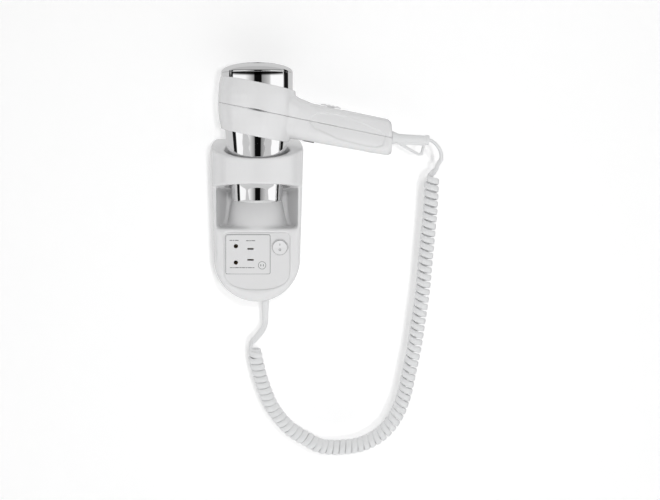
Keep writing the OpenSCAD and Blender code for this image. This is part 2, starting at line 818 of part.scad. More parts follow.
module fan_impeller() {
    color(dark) on_barrel() translate([0, 0, fan_z]) difference() {
        union() {
            cylinder(r = fan_hub_r, h = fan_h);
            for (i = [0:blade_count - 1]) rotate(i * 360 / blade_count)
                translate([fan_hub_r - 1, 0, fan_h / 2]) rotate([38, 0, 0])
                    translate([0, -8, -0.6]) cube([fan_r - fan_hub_r + 0.6, 16, 1.2]);
        }
        translate([0, 0, -1]) cylinder(r = shaft_r, h = far);
        translate([0, 0, -0.01]) difference() {
            cylinder(r = fan_hub_r - 1.5, h = fan_h - 2);
            cylinder(r = 4, h = far);
        }
    }
}

// Inner radius of the front barrel at height z
function throat_at(z) = lookup(z, [for (p = front_profile) [p[1], p[0] - barrel_wall]]);

module mica_sleeve() {
    color(mica) on_barrel() rotate_extrude() polygon(concat(
        [for (i = [0:5]) let (z = heater_low + (heater_high - heater_low) * i / 5) [throat_at(z) - 0.4, z]],
        [for (i = [5:-1:0]) let (z = heater_low + (heater_high - heater_low) * i / 5) [throat_at(z) - 1, z]]));
}

function heater_ring_z(i) = heater_low + 7 + i * (heater_high - heater_low - 14) / (ring_count - 1);
function heater_ring_r(i) = throat_at(heater_ring_z(i)) - 6;

// Two crossed mica cards, notched where the wire crosses them
module heater_frame() {
    color(mica) on_barrel() difference() {
        intersection() {
            for (a = [0, 90]) rotate(a) translate([-far / 2, -mica_t / 2, heater_low]) cube([far, mica_t, heater_high - heater_low]);
            rotate_extrude() polygon([[0, heater_low], [throat_at(heater_low) - 1.6, heater_low],
                [throat_at(heater_high) - 1.8, heater_high], [0, heater_high]]);
        }
        for (i = [0:ring_count - 1]) translate([0, 0, heater_ring_z(i) - 1.2]) difference() {
            cylinder(r = far, h = 2.4);
            translate([0, 0, -1]) cylinder(r = heater_ring_r(i) - 1.2, h = far);
        }
    }
}

module heater_coil() {
    color(silver) on_barrel() for (i = [0:ring_count - 1]) translate([0, 0, heater_ring_z(i)])
        rotate_extrude() translate([heater_ring_r(i), 0]) circle(r = 1, $fn = 16);
}

module thermostat() {
    color(silver) on_barrel() translate([9, mica_t / 2 + gap, heater_high - 9]) {
        cube([8, 1.2, 6], center = false);
        translate([4, 1.2, 3]) rotate([-90, 0, 0]) cylinder(r = 3, h = 1.4);
    }
}

module thermal_fuse() {
    color(silver) on_barrel() translate([-14, mica_t / 2 + 1.4 + gap, heater_high - 13]) cylinder(r = 1.3, h = 10);
}

// ---------- Dryer: handle ----------
module on_top(u) {
    on_handle() translate([u, 0, handle_h / 2 - 1.2]) children();
}

module control_board() {
    color([0.1, 0.4, 0.2]) on_handle() translate([neck_u + 2, -9, -4]) cube([end_u - neck_u - 44, 18, 1.6]);
}

module speed_switch_body() {
    color(dark) on_handle() translate([slider_u - 11, -6, -2.3]) cube([22, 12, 13]);
}

module speed_slider() {
    color(white) on_top(slider_u) {
        translate([-slider_l / 2, -slider_w / 2, play]) cube([slider_l, slider_w, 1.2]);
        for (i = [-1.5:1.5]) translate([i * 5, 0, play + 1.1]) rotate([90, 0, 0])
            cylinder(r = 1.1, h = slider_w - 1, center = true);
        translate([-4, -2, -9.4]) cube([8, 4, 10]);
    }
}

module cold_button() {
    color(silver) on_handle() {
        translate([button_u - button_l / 2, -button_t / 2, button_face]) cube([button_l, button_t, 5]);
        translate([button_u - button_l / 2 - 1.2, -button_t / 2 - 1.2, button_face + 4.6])
            cube([button_l + 2.4, button_t + 2.4, 1.2]);
    }
}

module cold_switch_body() {
    color(dark) on_handle() translate([button_u - 6.5, -3.5, -12.6]) cube([13, 7, 8]);
}

module cold_button_spring() {
    color(silver) on_handle() translate([button_u, 0, spring_low]) difference() {
        cylinder(r = 2.6, h = spring_high - spring_low);
        translate([0, 0, -1]) cylinder(r = 1.8, h = far);
    }
}

module handle_screws() {
    color(silver) handle_screw_places() {
        translate([0, 0, -handle_h / 2 + 0.3]) translate([0, 0, 4]) cylinder(r = 1.15, h = handle_h / 2 + 4);
        translate([0, 0, -handle_h / 2 + 2]) cylinder(r = 2.6, h = 2.4);
    }
}

module cord_clamp() {
    color(dark) on_handle() translate([end_u - 34, -8, -14.5]) difference() {
        cube([8, 16, 8]);
        translate([-1, 8, 0]) rotate([0, 90, 0]) cylinder(r = 2.3, h = 10);
    }
}

// Insulated leads from the cord clamp to the switches and the heater
module handle_leads() {
    color([0.6, 0.2, 0.15]) {
        on_handle() for (v = [-6, 6]) translate([neck_u - 14, v, 4]) rotate([0, 90, 0]) cylinder(r = 1, h = 22);
        on_handle() for (v = [-3, 3]) translate([end_u - 58, v, -8]) rotate([0, 90, 0]) cylinder(r = 1, h = 22);
    }
}

// Places children on the strain relief's axis, at distance x beyond the handle's end, Z along the axis
module on_relief(x) {
    translate([handle_reach, -barrel_d, relief_z]) rotate([0, 90 + relief_tilt, 0]) translate([0, 0, x]) children();
}

// Moulded sleeve with a flange at its tip and a triangular hanging loop below
module strain_relief() {
    collar = 2.4;
    color(white) difference() {
        union() {
            on_relief(-shell - gap - collar - 1.2) cylinder(r = relief_r + 2, h = collar);
            on_relief(-shell - 3) cylinder(r = relief_r, h = shell + 6);
            on_relief(1) cylinder(r1 = relief_r + 2.6, r2 = relief_r - 0.6, h = 9);
            on_relief(9) cylinder(r = relief_r - 0.6, h = relief_l - 12);
            on_relief(relief_l - 4) cylinder(r = relief_r + 0.4, h = 4);
            on_relief(0) rotate([0, -90, 0]) rotate([90, 0, 0]) linear_extrude(5, center = true) loop_outline();
        }
        on_relief(-shell - 6) cylinder(r = 2.3, h = 14);
    }
}

// Hanging loop in the strain relief's frame: distance along the axis, distance below it
module loop_outline() {
    difference() {
        polygon([[7, -3], [9, -7.2], [34, -19], [38.6, -18.4], [42, -3]]);
        polygon([[16.5, -7], [34.6, -15.8], [36.2, -15.4], [38.2, -7]]);
    }
}

// ---------- Cord ----------
// Unit direction of a route at point i
function route_dir(p, i) = let (a = p[max(i - 1, 0)], b = p[min(i + 1, len(p) - 1)]) (b - a) / norm(b - a);

// A closed tube of radius r swept along the points p
module swept_tube(p, r, sides = 10) {
    n = len(p);
    points = [for (i = [0:n - 1], k = [0:sides - 1])
        let (t = route_dir(p, i), s = cross(t, [0, 1, 0]), e1 = s / norm(s), e2 = cross(t, e1), a = 360 * k / sides)
            p[i] + r * (cos(a) * e1 + sin(a) * e2)];
    faces = concat(
        [[for (k = [0:sides - 1]) k]],
        [for (i = [0:n - 2], k = [0:sides - 1]) let (k2 = (k + 1) % sides)
            [i * sides + k, (i + 1) * sides + k, (i + 1) * sides + k2, i * sides + k2]],
        [[for (k = [sides - 1:-1:0]) (n - 1) * sides + k]]);
    polyhedron(points, faces);
}

module cord_upper() {
    color(white) swept_tube(upper_route, cable_d / 2, 8);
}

module cord_coil() {
    color(white) swept_tube(coil_route, coil_r, 12);
}

module cord_lower() {
    color(white) swept_tube(lower_route, cable_d / 2, 8);
}

wall_plate();
holder_housing();
front_panel();
socket_plate();
socket_contacts();
transformer_core();
transformer_coil();
mains_switch_body();
mains_rocker();
terminal_block();
holder_leads();
housing_screws();
holder_boot();
rear_barrel();
rear_cap();
intake_grille();
intake_filter();
front_barrel();
outlet_grille();
handle_shell_upper();
handle_shell_lower();
seam_inlay();
motor_can();
motor_end_cap();
motor_bushes();
fan_duct();
motor_shaft();
motor_armature();
fan_impeller();
heater_frame();
heater_coil();
mica_sleeve();
thermostat();
thermal_fuse();
control_board();
handle_leads();
speed_switch_body();
speed_slider();
cold_switch_body();
cold_button();
cold_button_spring();
handle_screws();
cord_clamp();
strain_relief();
cord_upper();
cord_coil();
cord_lower();
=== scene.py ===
"""Looks of a wall hair dryer: glossy white mouldings, striped chrome, a curly flat cord and a bright wall.

Sizes named here in millimetres repeat the solid model's own; everything is turned into metres as it is made.
"""

import json
import math

import bmesh
import bpy
import numpy as np
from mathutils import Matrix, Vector

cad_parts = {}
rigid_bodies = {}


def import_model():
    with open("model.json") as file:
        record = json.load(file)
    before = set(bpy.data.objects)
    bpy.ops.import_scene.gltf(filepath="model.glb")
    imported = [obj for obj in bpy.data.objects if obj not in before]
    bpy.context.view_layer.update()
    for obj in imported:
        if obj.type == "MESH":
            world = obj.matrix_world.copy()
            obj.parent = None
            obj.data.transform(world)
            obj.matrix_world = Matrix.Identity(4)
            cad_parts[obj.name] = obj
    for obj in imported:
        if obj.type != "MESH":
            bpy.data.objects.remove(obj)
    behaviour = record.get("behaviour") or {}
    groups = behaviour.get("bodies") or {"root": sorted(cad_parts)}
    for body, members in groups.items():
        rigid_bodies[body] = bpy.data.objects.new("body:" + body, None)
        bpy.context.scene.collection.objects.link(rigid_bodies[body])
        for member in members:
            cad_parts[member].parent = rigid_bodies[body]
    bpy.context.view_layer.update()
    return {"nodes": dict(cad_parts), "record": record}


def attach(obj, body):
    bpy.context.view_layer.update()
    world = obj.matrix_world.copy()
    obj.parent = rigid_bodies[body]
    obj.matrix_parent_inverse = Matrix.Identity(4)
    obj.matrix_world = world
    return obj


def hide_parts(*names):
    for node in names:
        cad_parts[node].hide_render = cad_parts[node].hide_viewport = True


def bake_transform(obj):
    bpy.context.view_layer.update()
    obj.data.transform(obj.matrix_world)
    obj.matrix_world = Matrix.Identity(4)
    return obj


MM = 0.001
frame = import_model()
nodes = frame["nodes"]

# ---------- Sizes, in millimetres ----------
BARREL_Y = -52.0                 # the barrel's vertical axis is at x = 0
NOZZLE_Z = 23.8
RIM_Z = 172.8                    # joint between the rear barrel and its cap
SPLIT_Z = 133.1                  # where the rear barrel stops inside the white band
BARREL_R = 41.8
NOZZLE_R = 29.3
CAP_H = 12.3
CAP_BAND = 0.8
GRILLE_R = 27.0
SEAM_Z = 129.1
TILT = math.radians(11.5)
PANEL_Y = -60.8                  # face of the front panel
PLATE_Y = -61.8                  # face of the shaver socket's plate
SOCKET = (-36.0, 15.0, -60.5, -15.5)      # edges of that plate: left, right, low, high
# width of the dark strip of painted shadow round the socket plate, standing for the shade in its gap
GAP_SHADOW_W = 0.5
SHELF_EDGE = (49.0, -44.0, -9.0, 9.0)     # zone round the edge: half width, back, middle and half height
ROCKER = (26.5, -60.8, -30.0)    # centre of the mains rocker, on the panel's face

# The flat cable: width, thickness, the curl's outer radius, and its pitch at shares of its length:
# the hanging stretch is pulled open and the bend at the bottom is nearly closed
CABLE_W = 7.0
CABLE_T = 3.9
CURL_R = 8.6
CURL_PITCH = [(0, 8.8), (0.42, 8.5), (0.58, 7.3), (0.85, 7.2), (1, 7.6)]
CURL_STEPS = 20                  # points a turn

# The chrome shells: wall, gap at the cap's joint, rounding of the edges at the joint and at the nozzle
CHROME_WALL = 1.6
CAP_GAP = 0.12
RIM_ROUND = 0.5
LIP_ROUND = 0.8
FRONT_H = 108.0
# The front barrel's flare: (height above the nozzle's lip, growth of the radius)
FRONT_FLARE = [(0, 0), (17, 1), (40, 3.6), (65, 6.2), (80, 7.9), (90, 8.9), (FRONT_H, 8.9)]

# Printed marks and the painted shadow round the socket plate: how far they stand off; the marks' rows of
# dashes (left, right, height), and their lengths in turn
MARK_STANDOFF = 0.04
MARK_ROWS = [(-31.7, -20.7, -21.7), (-12.6, -2.2, -22.1), (-31.3, -2.7, -53.3)]
DASHES = (3.1, 1.6, 4.2, 2.4, 3.4, 1.8, 4.6, 2.2, 3.0)
DASH_HALF_H = 0.42
DASH_GAP = 0.7
PLUG_SIGN = (5.9, -50.6, 4.1, 4.6)        # centre of the ring and its inner and outer radius
PLUG_PINS = [(4.0, 4.8), (7.0, 7.8)]      # left and right edges of the two pins inside it
PLUG_PIN_Z = (-51.8, -49.4)
ON_MARK = [(2.4, 1.66), (4.6, 2.04)]      # its ends: height above the rocker's centre, stand-off
ON_HALF_W = 0.3
OFF_MARK = (-2.6, 0.85, 1.35, 1.26)       # height, inner and outer radius, stand-off

# Camera and stage, in metres
CAMERA_PLACE = (0.0, -1.052, 0.120)
SENSOR = 36.0
LENS = 46.64
CAMERA_SHIFT = (0.1106, -0.2)
WALL_Y = 0.0006
CARD_Y = 0.0003                  # the mirror cards hang just in front of the wall
FLOOR_Z = -0.62
REACH = 2.6
WALL_GLOW = 0.225
FLOOR_GLOW = 0.1

# Lights: place in metres, size and watts; both point at the wall just right of the holder
LIGHT_TARGET = (0.06, 0, 0.0)
KEY_FRONT = ((0.22, -1.75, 0.12), 0.12, 5.4)
KEY_HIGH = ((0.16, -1.75, 0.50), 0.14, 5.0)
HIGH_BLOCKERS = ("holder_shell", "curly_cord", "holder_boot", "front_panel")

# Rounding of the edges of nodes that keep their own mesh
SOFT_EDGES = {"front_panel": 0.5, "socket_plate": 0.35, "mains_rocker": 0.4, "mains_switch_body": 0.3,
              "speed_slider": 0.35, "cold_button": 0.4}

UPPER_ROUTE = [(201.4, -52, 94.1), (204, -52, 93.6), (209, -52, 89.5), (213.5, -51, 84), (216, -50, 77),
               (216, -48, 71), (213.5, -47, 67), (212, -46, 64), (212, -46, 61)]
LOWER_ROUTE = [(10, -30, -121), (10, -30, -124), (7, -31, -132), (0, -32, -141), (-6, -33, -147),
               (-8, -35, -153), (-8, -35, -158)]
CURL_ROUTE = [(206, -46, 61), (206, -46, 55), (205.5, -46, 44), (204, -46, 15), (201, -45, -19),
              (198, -44, -53), (195, -43, -87), (190, -42, -122), (186, -41, -150), (180, -40, -180),
              (174, -39, -208), (165, -38, -232), (150, -37, -252), (128, -36, -266), (101, -36, -271),
              (76, -35, -270), (58, -35, -261), (40, -35, -250), (26, -35, -235), (16, -35, -220),
              (9, -35, -203), (4, -35, -188), (0, -35, -173), (-2, -35, -164), (-2, -35, -158)]


# ---------- Camera, light and stage ----------
def make_camera():
    data = bpy.data.cameras.new("camera")
    data.sensor_width = SENSOR
    data.lens = LENS
    data.shift_x, data.shift_y = CAMERA_SHIFT
    data.clip_start = 0.01
    camera = bpy.data.objects.new("camera", data)
    camera.location = CAMERA_PLACE
    camera.rotation_euler = (math.radians(90), 0, 0)
    bpy.context.scene.collection.objects.link(camera)
    bpy.context.scene.camera = camera


def area_light(name, place, size, watts):
    """A soft round light that mirrors don't see, pointing at the object."""
    data = bpy.data.lights.new(name, "AREA")
    data.shape = "DISK"
    data.size = size
    data.energy = watts
    light = bpy.data.objects.new(name, data)
    light.location = place
    light.rotation_euler = (Vector(LIGHT_TARGET) - Vector(place)).to_track_quat("-Z", "Y").to_euler()
    light.visible_glossy = False
    bpy.context.scene.collection.objects.link(light)
    return light


def flag_off_handset(light):
    """Only the holder and the cord stand in this light's way, as if the dryer's shadow were flagged off."""
    blockers = bpy.data.collections.new("casts_" + light.name)
    for piece in bpy.data.objects:
        if piece.type == "MESH" and piece.name in HIGH_BLOCKERS:
            blockers.objects.link(piece)
    light.light_linking.blocker_collection = blockers


class Graph:
    """Short names for adding and joining shader nodes."""

    def __init__(self, tree):
        self.tree = tree
        tree.nodes.clear()

    def add(self, kind, **inputs):
        node = self.tree.nodes.new(kind)
        for name, value in inputs.items():
            node.inputs[name.replace("_", " ")].default_value = value
        return node

    def join(self, out, into):
        self.tree.links.new(out, into)

    def maths(self, operation, a, b=0.0):
        node = self.tree.nodes.new("ShaderNodeMath")
        node.operation = operation
        for socket, value in zip(node.inputs, (a, b)):
            if isinstance(value, (int, float)):
                socket.default_value = value
            else:
                self.join(value, socket)
        return node.outputs[0]

    def ramp(self, factor, stops, interpolation="LINEAR"):
        node = self.tree.nodes.new("ShaderNodeValToRGB")
        node.color_ramp.interpolation = interpolation
        elements = node.color_ramp.elements
        while len(elements) < len(stops):
            elements.new(0.5)
        for element, (position, grey) in zip(elements, stops):
            element.position = position
            element.color = (grey, grey, grey, 1)
        self.join(factor, node.inputs[0])
        return node.outputs[0]


# What the chrome mirrors in front of the wall: (degrees right of the camera's direction, brightness)
STUDIO = [(-180, 0.01), (-84, 0.01), (-82.5, 1.05), (-38, 1.0), (-10, 0.30), (-8, 0.004), (14, 0.004),
          (15.5, 0.26), (40, 0.60), (46, 1.05), (90, 1.05), (180, 1.05)]
# How much of it shows at each height: (degrees above the horizon, share)
STUDIO_HEIGHT = [(-90, 0.6), (-30, 1.0), (7, 1.0), (10, 0.015), (90, 0.015)]
# Its pale ceiling, which only the cap's dome mirrors
STUDIO_CEILING = [(-90, 0), (24, 0), (34, 0.5), (90, 0.5)]
NO_CEILING = [(-90, 0), (90, 0)]
# The soft light of the room, around and upwards
SOFT_AROUND = [(-180, 0.7), (-120, 1.5), (-65, 1.5), (-30, 0.8), (30, 0.8), (65, 1.4), (120, 1.4),
               (180, 0.7)]
SOFT_HEIGHT = [(-90, 0.4), (-20, 0.75), (20, 1.0), (90, 1.2)]
ROOM_LIGHT = 0.42


def make_world():
    world = bpy.data.worlds.new("studio")
    bpy.context.scene.world = world
    world.use_nodes = True
    g = Graph(world.node_tree)
    direction = g.add("ShaderNodeSeparateXYZ")
    g.join(g.add("ShaderNodeTexCoord").outputs["Generated"], direction.inputs[0])
    x, y, z = direction.outputs
    azimuth = g.maths("ARCTAN2", x, g.maths("MULTIPLY", y, -1.0))
    around = g.maths("ADD", g.maths("DIVIDE", azimuth, 2 * math.pi), 0.5)
    height = g.maths("ADD", g.maths("DIVIDE", g.maths("ARCSINE", z), math.pi), 0.5)

    def by_height(stops):
        return g.ramp(height, [(e / 180 + 0.5, grey) for e, grey in stops])

    def lit(stops_around, stops_up, stops_ceiling, strength):
        walls = g.maths("MULTIPLY", g.ramp(around, [(a / 360 + 0.5, grey) for a, grey in stops_around]),
                        by_height(stops_up))
        shade = g.maths("MAXIMUM", walls, by_height(stops_ceiling))
        background = g.add("ShaderNodeBackground", Strength=strength)
        g.join(shade, background.inputs["Color"])
        return background.outputs[0]

    mix = g.add("ShaderNodeMixShader")
    g.join(g.add("ShaderNodeLightPath").outputs["Is Glossy Ray"], mix.inputs[0])
    g.join(lit(SOFT_AROUND, SOFT_HEIGHT, NO_CEILING, ROOM_LIGHT), mix.inputs[1])
    g.join(lit(STUDIO, STUDIO_HEIGHT, STUDIO_CEILING, 1.0), mix.inputs[2])
    g.join(mix.outputs[0], g.add("ShaderNodeOutputWorld").inputs["Surface"])


def stage_material(name, glow):
    """Pale paint that glows a little, and can't be seen from behind."""
    material = bpy.data.materials.new(name)
    material.use_nodes = True
    g = Graph(material.node_tree)
    paint = g.add("ShaderNodeBsdfPrincipled", Base_Color=(0.90, 0.90, 0.90, 1), Roughness=0.9,
                  Specular_IOR_Level=0.0, Emission_Color=(1, 1, 1, 1), Emission_Strength=glow)
    mix = g.add("ShaderNodeMixShader")
    g.join(g.add("ShaderNodeNewGeometry").outputs["Backfacing"], mix.inputs[0])
    g.join(paint.outputs[0], mix.inputs[1])
    g.join(g.add("ShaderNodeBsdfTransparent").outputs[0], mix.inputs[2])
    g.join(mix.outputs[0], g.add("ShaderNodeOutputMaterial").inputs["Surface"])
    return material


def stage_sheet(name, corners, material):
    mesh = bpy.data.meshes.new(name)
    mesh.from_pydata(corners, [], [(0, 1, 2, 3)])
    mesh.materials.append(material)
    sheet = bpy.data.objects.new(name, mesh)
    bpy.context.scene.collection.objects.link(sheet)
    return sheet


def mirror_card(name, x0, x1, z0, z1, grey):
    """A card against the wall that only mirrors can see, as a photographer's flags are."""
    material = bpy.data.materials.new(name)
    material.use_nodes = True
    g = Graph(material.node_tree)
    g.join(g.add("ShaderNodeEmission", Color=(grey, grey, grey, 1)).outputs[0],
           g.add("ShaderNodeOutputMaterial").inputs["Surface"])
    corners = [(x0, CARD_Y, z0), (x1, CARD_Y, z0), (x1, CARD_Y, z1), (x0, CARD_Y, z1)]
    card = stage_sheet(name, corners, material)
    card.visible_camera = False
    card.visible_diffuse = False
    card.visible_shadow = False
    card.visible_transmission = False


def make_cards():
    """Dark and pale cards side by side, and a pale one above them, for the chrome's outer stripes."""
    low, high = -0.6, 0.33
    edges = [-REACH, -0.44, 0.17, 0.80, REACH]
    cards = [("far_left", 0.01), ("left", 0.62), ("right", 0.01), ("far_right", 0.7)]
    for (name, grey), x0, x1 in zip(cards, edges, edges[1:]):
        mirror_card("card_" + name, x0, x1, low, high, grey)
    mirror_card("card_high", -REACH, REACH, high, REACH, 0.5)


def make_stage():
    wall = [(-REACH, WALL_Y, FLOOR_Z), (REACH, WALL_Y, FLOOR_Z), (REACH, WALL_Y, REACH),
            (-REACH, WALL_Y, REACH)]
    floor = [(-REACH, -REACH, FLOOR_Z), (REACH, -REACH, FLOOR_Z), (REACH, WALL_Y, FLOOR_Z),
             (-REACH, WALL_Y, FLOOR_Z)]
    stage_sheet("stage_wall", wall, stage_material("wall_paint", WALL_GLOW))
    stage_sheet("stage_floor", floor, stage_material("floor_paint", FLOOR_GLOW))


# ---------- Materials ----------
def moulded(name, colour, rough, metallic=0.0, coat=0.0, wear=0.03, grain=900.0, bump=0.02, cloud=30.0):
    """A surface with faint clouds in its colour, uneven gloss and a fine grain; grain is per metre."""
    material = bpy.data.materials.new(name)
    material.use_nodes = True
    g = Graph(material.node_tree)
    place = g.add("ShaderNodeTexCoord").outputs["Object"]
    shader = g.add("ShaderNodeBsdfPrincipled", Metallic=metallic, Coat_Weight=coat, Coat_Roughness=0.06)
    broad = g.add("ShaderNodeTexNoise", Scale=cloud, Detail=3.0)
    fine = g.add("ShaderNodeTexNoise", Scale=grain, Detail=2.0)
    for noise in (broad, fine):
        g.join(place, noise.inputs["Vector"])
    mix = g.add("ShaderNodeMix")
    mix.data_type = "RGBA"
    low = tuple(c * (1 - wear) for c in colour)
    mix.inputs[6].default_value = (*low, 1)
    mix.inputs[7].default_value = (*colour, 1)
    g.join(broad.outputs["Fac"], mix.inputs[0])
    g.join(mix.outputs[2], shader.inputs["Base Color"])
    gloss = g.add("ShaderNodeMapRange", To_Min=rough * 0.8, To_Max=rough * 1.2)
    g.join(broad.outputs["Fac"], gloss.inputs["Value"])
    g.join(gloss.outputs[0], shader.inputs["Roughness"])
    relief = g.add("ShaderNodeBump", Strength=bump, Distance=0.0002)
    g.join(fine.outputs["Fac"], relief.inputs["Height"])
    g.join(relief.outputs[0], shader.inputs["Normal"])
    g.join(shader.outputs[0], g.add("ShaderNodeOutputMaterial").inputs["Surface"])
    return material


SLOT_LOOKS = {
    "white_shell": dict(colour=(0.84, 0.84, 0.845), rough=0.22, coat=0.25, wear=0.015, bump=0.015),
    "white_cable": dict(colour=(0.83, 0.835, 0.84), rough=0.42, wear=0.03, grain=1500.0, bump=0.06),
    "chrome": dict(colour=(0.93, 0.93, 0.935), rough=0.025, metallic=1.0, wear=0.02, bump=0.0, cloud=12.0),
    "satin_silver": dict(colour=(0.78, 0.785, 0.80), rough=0.24, metallic=0.9, wear=0.06, bump=0.03),
    "dark_plastic": dict(colour=(0.03, 0.03, 0.032), rough=0.45, wear=0.2, bump=0.08),
    "steel": dict(colour=(0.58, 0.58, 0.6), rough=0.3, metallic=1.0, wear=0.12, bump=0.04),
    "brass": dict(colour=(0.78, 0.6, 0.28), rough=0.28, metallic=1.0, wear=0.12, bump=0.04),
    "copper": dict(colour=(0.68, 0.34, 0.17), rough=0.32, metallic=0.9, wear=0.2, grain=400.0, bump=0.12),
    "heater_wire": dict(colour=(0.45, 0.42, 0.4), rough=0.4, metallic=1.0, wear=0.25, bump=0.05),
    "mica": dict(colour=(0.66, 0.58, 0.42), rough=0.5, wear=0.25, grain=300.0, bump=0.08),
    "board": dict(colour=(0.05, 0.22, 0.11), rough=0.3, coat=0.3, wear=0.15, bump=0.03),
    "terminal_plastic": dict(colour=(0.74, 0.73, 0.66), rough=0.4, wear=0.06, bump=0.04),
    "blue_lead": dict(colour=(0.08, 0.16, 0.5), rough=0.4, wear=0.1, bump=0.04),
    "red_lead": dict(colour=(0.5, 0.08, 0.06), rough=0.4, wear=0.1, bump=0.04),
}
looks = {slot: moulded(slot, **values) for slot, values in SLOT_LOOKS.items()}
# dark ink for the printed marks, also used as the painted shadow in the gap round the socket plate
ink_and_gap_shadow = moulded("ink_and_gap_shadow", (0.16, 0.165, 0.17), 0.5, wear=0.15, bump=0.03)


def dress_cad_nodes():
    """Every carried-over CAD node gets its slot's material."""
    slot_of = {s["node"]: s["material_slot"] for s in frame["record"]["subparts"]}
    for name, piece in nodes.items():
        piece.data.materials.clear()
        piece.data.materials.append(looks[slot_of[name]])


def soften(name, width_mm):
    """Rounds a CAD node's sharp edges with modifiers, which leave its mesh as it is."""
    piece = nodes[name]
    weld = piece.modifiers.new("weld", "WELD")
    weld.merge_threshold = 1e-6
    bevel = piece.modifiers.new("soft_edges", "BEVEL")
    bevel.width = width_mm * MM
    bevel.segments = 3
    bevel.limit_method = "ANGLE"
    bevel.angle_limit = math.radians(40)
    bevel.harden_normals = True


# ---------- Making pieces ----------
def new_piece(name, verts, faces, material, smooth=True):
    mesh = bpy.data.meshes.new(name)
    mesh.from_pydata([tuple(v) for v in verts], [], faces)
    mesh.materials.append(material)
    if smooth:
        mesh.shade_smooth()
    piece = bpy.data.objects.new(name, mesh)
    bpy.context.scene.collection.objects.link(piece)
    return piece


def stand_for(piece, body, slot, *replaced):
    """The piece rides on a body and stands in for the CAD nodes named, which are hidden; slot is not used.
    """
    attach(piece, body)
    if replaced:
        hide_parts(*replaced)


def lathe(name, profile, material, segments=192):
    """Turns a closed profile of (radius, height), in millimetres, about the barrel's axis."""
    angles = np.arange(segments) * 2 * math.pi / segments
    verts = [(r * math.cos(a) * MM, (BARREL_Y + r * math.sin(a)) * MM, z * MM)
             for r, z in profile for a in angles]
    rows = len(profile)
    faces = []
    for i in range(rows):
        j = (i + 1) % rows
        for k in range(segments):
            m = (k + 1) % segments
            faces.append((i * segments + k, i * segments + m, j * segments + m, j * segments + k))
    piece = new_piece(name, verts, faces, material)
    piece.data.set_sharp_from_angle(angle=math.radians(50))
    return piece


def fillet(cx, cz, radius, start, end, steps=6):
    """Points of an arc in the (radius, height) plane, angles in degrees."""
    span = np.radians(np.linspace(start, end, steps + 1))
    return [(cx + radius * math.cos(a), cz + radius * math.sin(a)) for a in span]


def dome_z(r):
    """Height of the cap's elliptical dome at radius r."""
    return RIM_Z + CAP_BAND + (CAP_H - CAP_BAND) * math.sqrt(1 - min(r / BARREL_R, 1.0) ** 2)


def chrome_shell(name, profile, replaced):
    stand_for(lathe(name, profile, looks["chrome"]), "handset", "chrome", replaced)


def make_rear_barrel():
    inner_r = BARREL_R - CHROME_WALL
    edge = fillet(BARREL_R - RIM_ROUND, RIM_Z - RIM_ROUND, RIM_ROUND, 0, 90, 4)
    profile = [(inner_r, SPLIT_Z), (BARREL_R, SPLIT_Z), (BARREL_R, RIM_Z - 8)] + edge + [(inner_r, RIM_Z)]
    chrome_shell("rear_barrel_shell", profile, "rear_barrel")


def make_rear_cap():
    hole_r = GRILLE_R + 0.1
    foot = RIM_Z + CAP_GAP
    dome = BARREL_R * np.sin(np.linspace(math.pi / 2, math.asin(hole_r / BARREL_R), 40))
    inside = [(hole_r, dome_z(GRILLE_R) - CHROME_WALL), (GRILLE_R + 6, dome_z(GRILLE_R + 6) - CHROME_WALL)]
    profile = [(BARREL_R - CHROME_WALL, foot), (BARREL_R, foot)] + [(r, dome_z(r)) for r in dome] + inside
    chrome_shell("rear_cap_shell", profile, "rear_cap")


def make_front_barrel():
    heights, growth = zip(*FRONT_FLARE)
    zs = np.linspace(1.2, FRONT_H, 60)
    outer = [(NOZZLE_R + g, NOZZLE_Z + z) for z, g in zip(zs, np.interp(zs, heights, growth))]
    lip = fillet(NOZZLE_R - LIP_ROUND, NOZZLE_Z + LIP_ROUND, LIP_ROUND, -90, 0, 5)
    inner = [(r - CHROME_WALL, z) for r, z in reversed(outer)]
    chrome_shell("front_barrel_shell", lip + outer + inner, "front_barrel")


def joined_mesh(names):
    """One welded copy of some CAD nodes' meshes."""
    bm = bmesh.new()
    for name in names:
        bm.from_mesh(nodes[name].data)
    bmesh.ops.remove_doubles(bm, verts=bm.verts, dist=1e-6)
    mesh = bpy.data.meshes.new("copy")
    bm.to_mesh(mesh)
    bm.free()
    return mesh


def relaxed(mesh, rounds, zone=None, zone_rounds=0):
    """Moves each vertex half way to the middle of its neighbours in rounds, with extra rounds in a zone."""
    count = len(mesh.vertices)
    co = np.empty(count * 3)
    mesh.vertices.foreach_get("co", co)
    co = co.reshape(-1, 3)
    edges = np.empty(len(mesh.edges) * 2, dtype=np.int64)
    mesh.edges.foreach_get("vertices", edges)
    a, b = edges.reshape(-1, 2).T
    degree = np.bincount(np.concatenate([a, b]), minlength=count)[:, None]
    weight = zone(co / MM)[:, None] if zone else 0.0
    for i in range(rounds + zone_rounds):
        step = 0.5 if i < rounds else 0.5 * weight
        total = np.zeros_like(co)
        for axis in range(3):
            total[:, axis] = np.bincount(a, co[b, axis], count) + np.bincount(b, co[a, axis], count)
        co = co + step * (total / degree - co)
    return co


def remoulded(name, names, voxel_mm, rounds, material, shape=None, zone=None, zone_rounds=0):
    """A smooth, soft-edged copy of CAD nodes: voxel remesh, even out, then reshape if a shape is given."""
    source = bpy.data.objects.new(name, joined_mesh(names))
    bpy.context.scene.collection.objects.link(source)
    remesh = source.modifiers.new("remesh", "REMESH")
    remesh.mode = "VOXEL"
    remesh.voxel_size = voxel_mm * MM
    remesh.adaptivity = 0.0
    evaluated = source.evaluated_get(bpy.context.evaluated_depsgraph_get())
    mesh = bpy.data.meshes.new_from_object(evaluated)
    source.modifiers.clear()
    source.data = mesh
    co = relaxed(mesh, rounds, zone, zone_rounds)
    if shape:
        co = shape(co / MM) * MM
    mesh.vertices.foreach_set("co", co.ravel())
    mesh.update()
    mesh.materials.clear()
    mesh.materials.append(material)
    mesh.shade_smooth()
    return source


